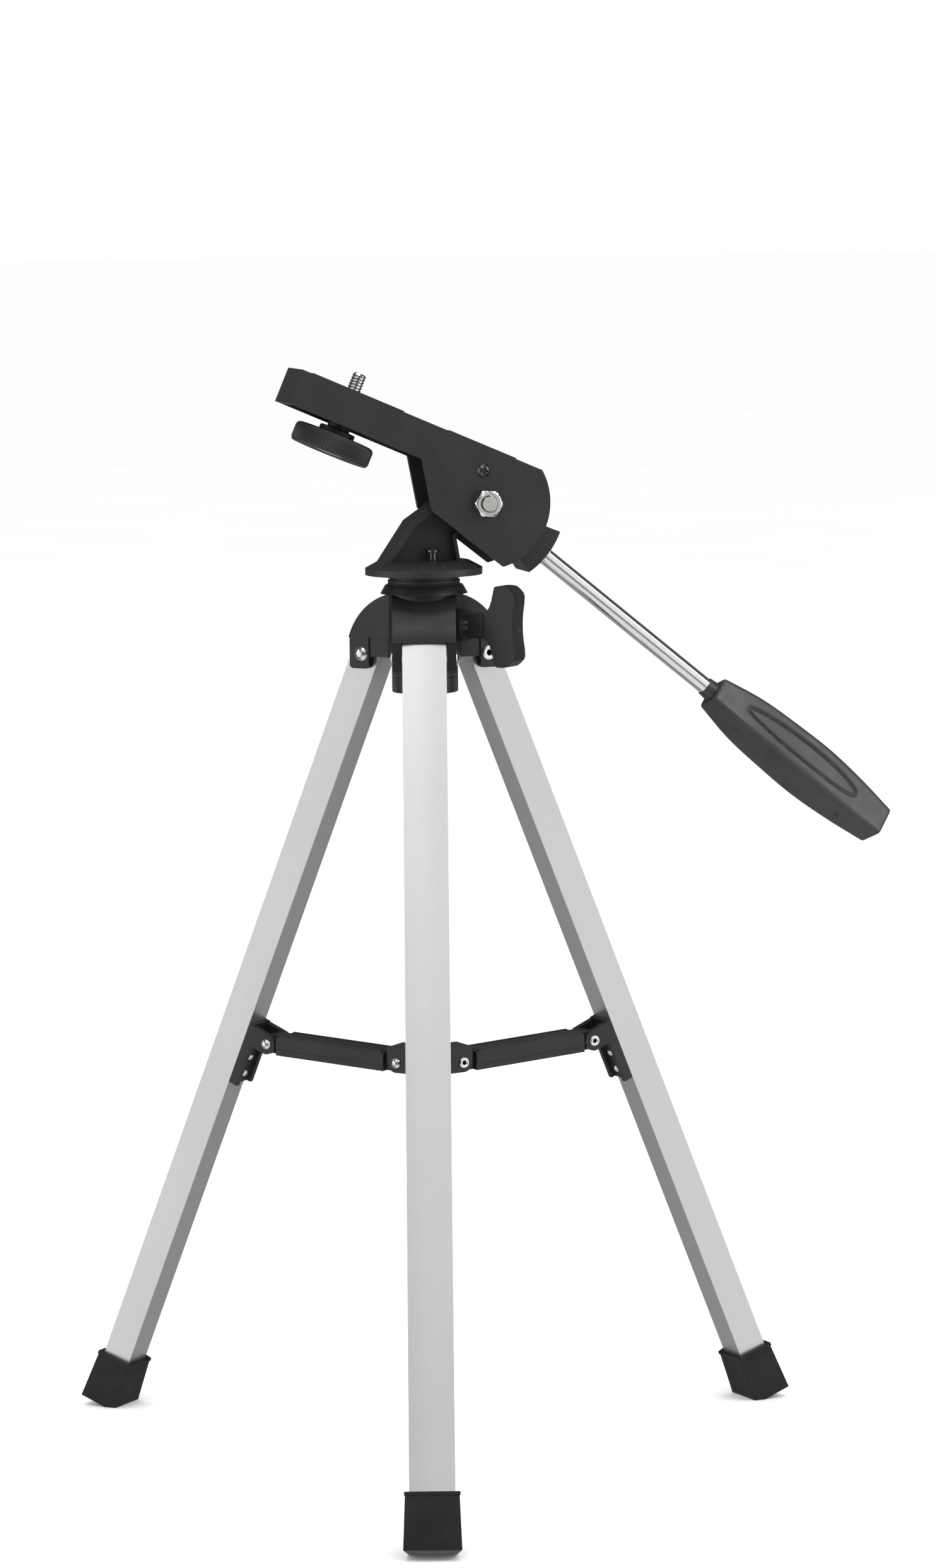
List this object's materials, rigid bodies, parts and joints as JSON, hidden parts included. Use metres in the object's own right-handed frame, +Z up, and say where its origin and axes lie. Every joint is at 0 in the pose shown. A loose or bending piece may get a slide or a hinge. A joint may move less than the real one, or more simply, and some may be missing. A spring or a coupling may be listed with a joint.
{
  "type": "alt azimuth mount",
  "caption": "Tabletop telescope mount: a panning, tilting head with a long handle and clamp screw, on a small folding tripod with splayed metal legs and a spreader.",
  "frame": {"origin": "on the floor plane, on the pan axis of the tripod", "axes": "+Z up along the pan axis; the front leg points along -Y; the handle is towards +X"},
  "size_m": [0.371, 0.2829, 0.4785],
  "materials": {
    "crown_plastic": "satin moulded nylon",
    "head_plastic": "fine sand-textured moulded plastic",
    "spreader_plastic": "satin moulded plastic",
    "grip_plastic": "smooth satin plastic",
    "foot_rubber": "satin rubber",
    "leg_aluminium": "satin anodised",
    "plated_steel": "bright nickel plated",
    "black_steel": "blackened",
    "fibre": "pressed black fibre"
  },
  "bodies": {
    "crown": {"tripod_crown": "crown_plastic", "crown_lower_ring": "crown_plastic", "azimuth_lock_nut": "plated_steel", "leg_pivot_rivets": "plated_steel", "azimuth_wear_washer": "fibre"},
    "pan_head": {"azimuth_base": "head_plastic", "azimuth_retaining_washer": "plated_steel", "azimuth_retaining_screw": "plated_steel", "azimuth_stop_pin": "black_steel"},
    "altitude_head": {"altitude_frame": "head_plastic", "altitude_pivot_bolt": "plated_steel", "altitude_pivot_washer": "plated_steel", "altitude_pivot_nut": "plated_steel", "tilt_friction_washers": "fibre", "frame_side_screw": "black_steel", "handle_thread_insert": "plated_steel"},
    "handle": {"handle_rod": "plated_steel", "handle_rod_ferrule": "plated_steel", "handle_grip_collar": "grip_plastic", "handle_grip": "grip_plastic"},
    "telescope_clamp": {"telescope_knob": "head_plastic", "telescope_screw": "plated_steel", "telescope_knob_disc": "plated_steel"},
    "azimuth_lock": {"azimuth_lock_knob": "crown_plastic", "azimuth_lock_stud": "plated_steel"},
    "spreader_hub": {"spreader_hub": "spreader_plastic", "spreader_hub_rivets": "plated_steel"},
    "front_leg": {"front_leg_tube": "leg_aluminium", "front_leg_top_plug": "spreader_plastic", "front_foot": "foot_rubber", "front_spreader_bracket": "spreader_plastic", "front_bracket_screws": "plated_steel", "front_bracket_rivet": "plated_steel"},
    "front_arm": {"front_spreader_arm": "spreader_plastic"},
    "right_leg": {"right_leg_tube": "leg_aluminium", "right_leg_top_plug": "spreader_plastic", "right_foot": "foot_rubber", "right_spreader_bracket": "spreader_plastic", "right_bracket_screws": "plated_steel", "right_bracket_rivet": "plated_steel"},
    "right_arm": {"right_spreader_arm": "spreader_plastic"},
    "left_leg": {"left_leg_tube": "leg_aluminium", "left_leg_top_plug": "spreader_plastic", "left_foot": "foot_rubber", "left_spreader_bracket": "spreader_plastic", "left_bracket_screws": "plated_steel", "left_bracket_rivet": "plated_steel"},
    "left_arm": {"left_spreader_arm": "spreader_plastic"}
  },
  "joints": [
    {"name": "azimuth_pan", "type": "hinge", "parent": "crown", "child": "pan_head", "pos_m": [0, 0, 0.3885], "axis": [0, 0, 1], "continuous": true},
    {"name": "altitude_tilt", "type": "hinge", "parent": "pan_head", "child": "altitude_head", "pos_m": [0.02388, 0.00591, 0.4194], "axis": [-0.2402, 0.9707, 0], "range_deg": [-41, 17]},
    {"name": "handle_twist", "type": "hinge", "parent": "altitude_head", "child": "handle", "pos_m": [0.04638, 0.01148, 0.40036], "axis": [0.7501, 0.1856, -0.6347], "continuous": true},
    {"name": "telescope_clamp_turn", "type": "hinge", "parent": "altitude_head", "child": "telescope_clamp", "pos_m": [-0.03826, -0.00947, 0.44697], "axis": [0.384, 0.095, 0.9184], "continuous": true},
    {"name": "azimuth_lock_turn", "type": "hinge", "parent": "crown", "child": "azimuth_lock", "pos_m": [0.01732, -0.01, 0.367], "axis": [0.866, -0.5, 0], "continuous": true},
    {"name": "spreader_lift", "type": "slide", "parent": "crown", "child": "spreader_hub", "axis": [0, 0, 1], "range_m": [0, 0.0363]},
    {"name": "front_leg_fold", "type": "hinge", "parent": "crown", "child": "front_leg", "pos_m": [0, -0.0243, 0.3539], "axis": [1, 0, 0], "range_deg": [0, 2.5]},
    {"name": "front_arm_fold", "type": "hinge", "parent": "front_leg", "child": "front_arm", "pos_m": [0, -0.0807, 0.1759], "axis": [1, 0, 0], "range_deg": [0, 31.7]},
    {"name": "right_leg_fold", "type": "hinge", "parent": "crown", "child": "right_leg", "pos_m": [0.02104, 0.01215, 0.3539], "axis": [-0.5, 0.866, 0], "range_deg": [0, 2.51]},
    {"name": "right_arm_fold", "type": "hinge", "parent": "right_leg", "child": "right_arm", "pos_m": [0.06989, 0.04035, 0.1759], "axis": [-0.5, 0.866, 0], "range_deg": [0, 31.7]},
    {"name": "left_leg_fold", "type": "hinge", "parent": "crown", "child": "left_leg", "pos_m": [-0.02104, 0.01215, 0.3539], "axis": [-0.5, -0.866, 0], "range_deg": [0, 2.51]},
    {"name": "left_arm_fold", "type": "hinge", "parent": "left_leg", "child": "left_arm", "pos_m": [-0.06989, 0.04035, 0.1759], "axis": [-0.5, -0.866, 0], "range_deg": [0, 31.7]}
  ],
  "couplings": [
    {"joint": "front_arm_fold", "follows": "front_leg_fold", "ratio": 12.64},
    {"joint": "right_leg_fold", "follows": "front_leg_fold", "ratio": 1},
    {"joint": "right_arm_fold", "follows": "front_leg_fold", "ratio": 12.64},
    {"joint": "left_leg_fold", "follows": "front_leg_fold", "ratio": 1},
    {"joint": "left_arm_fold", "follows": "front_leg_fold", "ratio": 12.64},
    {"joint": "spreader_lift", "follows": "front_leg_fold", "m_per_rad": 0.82779}
  ]
}
